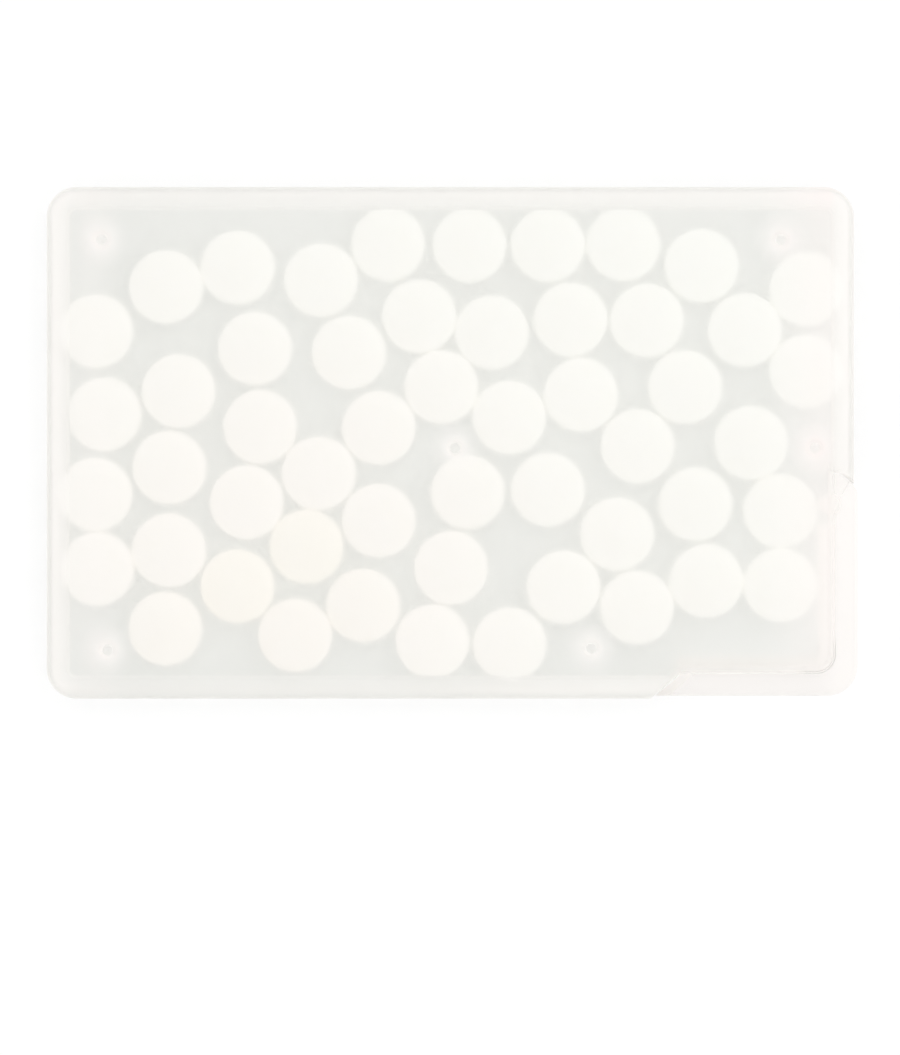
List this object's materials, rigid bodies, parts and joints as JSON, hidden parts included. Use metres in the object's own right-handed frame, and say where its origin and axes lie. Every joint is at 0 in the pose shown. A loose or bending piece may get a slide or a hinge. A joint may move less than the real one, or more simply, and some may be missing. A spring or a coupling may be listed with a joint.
{
  "type": "pocket mint dispenser",
  "caption": "Flat card-shaped dispenser of frosted plastic for round mints, with a corner door that swings open on a pin.",
  "frame": {"origin": "middle of the card's back face", "axes": "+X along the card to the right, +Y up the card, +Z out of the front face"},
  "size_m": [0.0856, 0.054, 0.005],
  "materials": {
    "frosted_back": "satin",
    "frosted_front": "satin",
    "frosted_door": "satin",
    "mint": "matte"
  },
  "bodies": {
    "case": {"back_shell": "frosted_back", "front_shell": "frosted_front", "mint_01": "mint", "mint_02": "mint", "mint_03": "mint", "mint_04": "mint", "mint_05": "mint", "mint_06": "mint", "mint_07": "mint", "mint_08": "mint", "mint_09": "mint", "mint_10": "mint", "mint_11": "mint", "mint_12": "mint", "mint_13": "mint", "mint_14": "mint", "mint_15": "mint", "mint_16": "mint", "mint_17": "mint", "mint_18": "mint", "mint_19": "mint", "mint_20": "mint", "mint_21": "mint", "mint_22": "mint", "mint_23": "mint", "mint_24": "mint", "mint_25": "mint", "mint_26": "mint", "mint_27": "mint", "mint_28": "mint", "mint_29": "mint", "mint_30": "mint", "mint_31": "mint", "mint_32": "mint", "mint_33": "mint", "mint_34": "mint", "mint_35": "mint", "mint_36": "mint", "mint_37": "mint", "mint_38": "mint", "mint_39": "mint", "mint_40": "mint", "mint_41": "mint", "mint_42": "mint", "mint_43": "mint", "mint_44": "mint", "mint_45": "mint", "mint_46": "mint", "mint_47": "mint", "mint_48": "mint", "mint_49": "mint", "mint_50": "mint", "mint_51": "mint", "mint_52": "mint"},
    "door": {"corner_door": "frosted_door"}
  },
  "joints": [
    {"name": "corner_door_hinge", "type": "hinge", "parent": "case", "child": "door", "pos_m": [0.03974, -0.00646, 0.0025], "axis": [0, 0, 1], "range_deg": [0, 30]}
  ]
}
